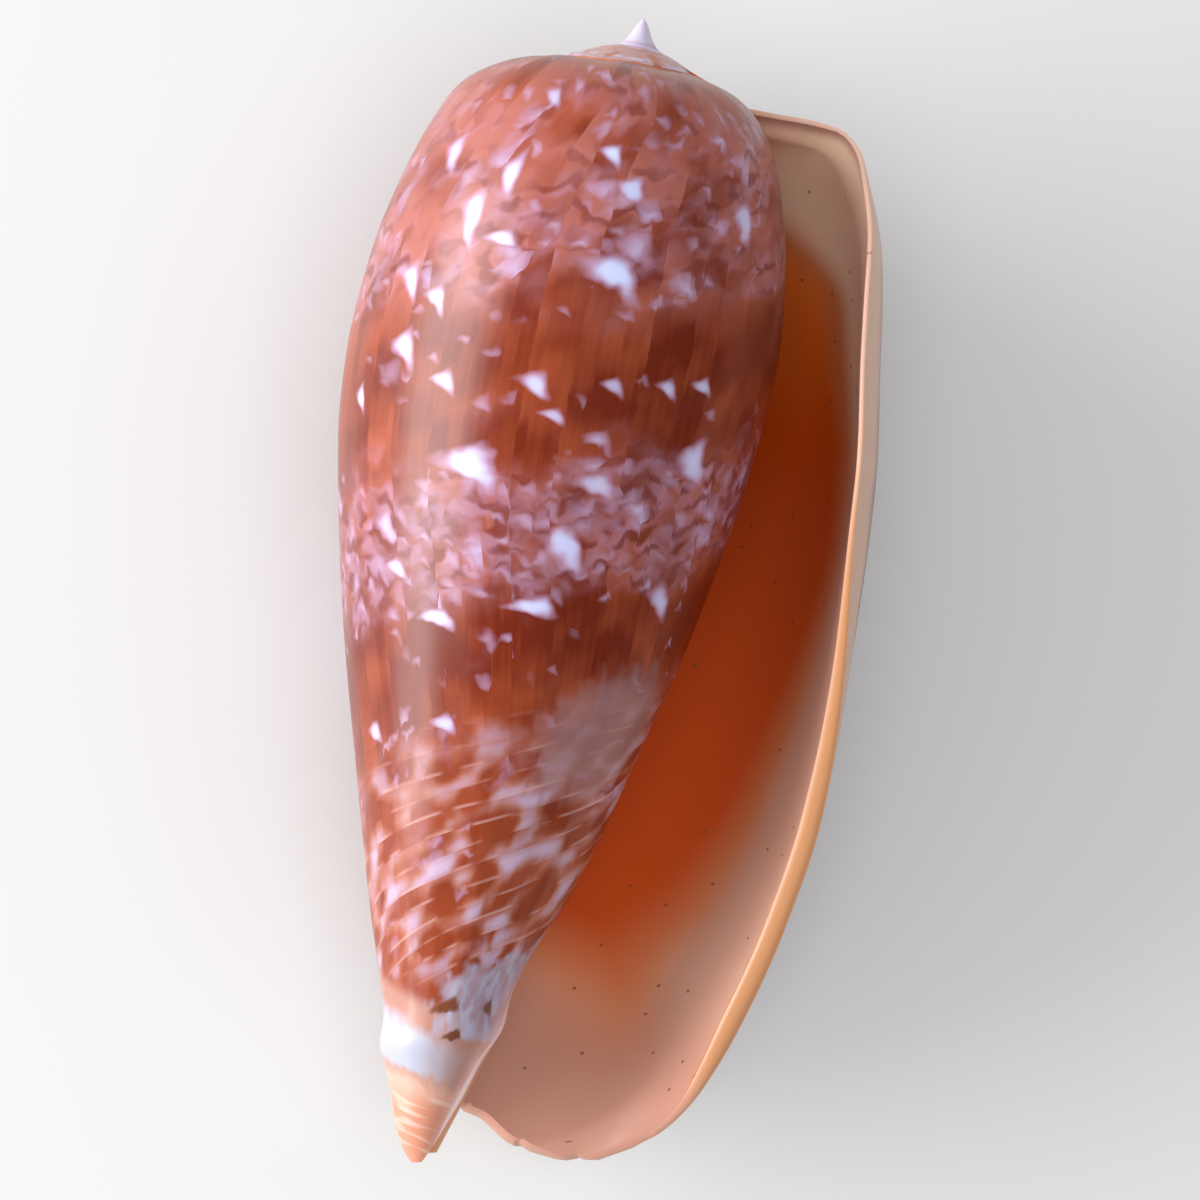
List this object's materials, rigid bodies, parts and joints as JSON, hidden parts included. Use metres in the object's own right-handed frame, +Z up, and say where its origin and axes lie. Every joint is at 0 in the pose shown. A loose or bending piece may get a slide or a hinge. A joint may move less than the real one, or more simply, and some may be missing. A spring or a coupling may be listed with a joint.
{
  "type": "cone shell",
  "caption": "Whole cone-shaped seashell with a low pointed spire, a long flared mouth along one side and a narrow tongue at the foot; a display or study specimen.",
  "frame": {"origin": "centre of the shell's footprint, on the surface it rests on", "axes": "+Y along the shell towards the spire, +X towards the lip, +Z up out of the mouth; the shell lies on its back"},
  "size_m": [0.0294, 0.0618, 0.0255],
  "materials": {
    "shell": "polished orange-brown shell with bluish-white tents"
  },
  "bodies": {
    "root": {"cone_shell": "shell"}
  },
  "joints": []
}
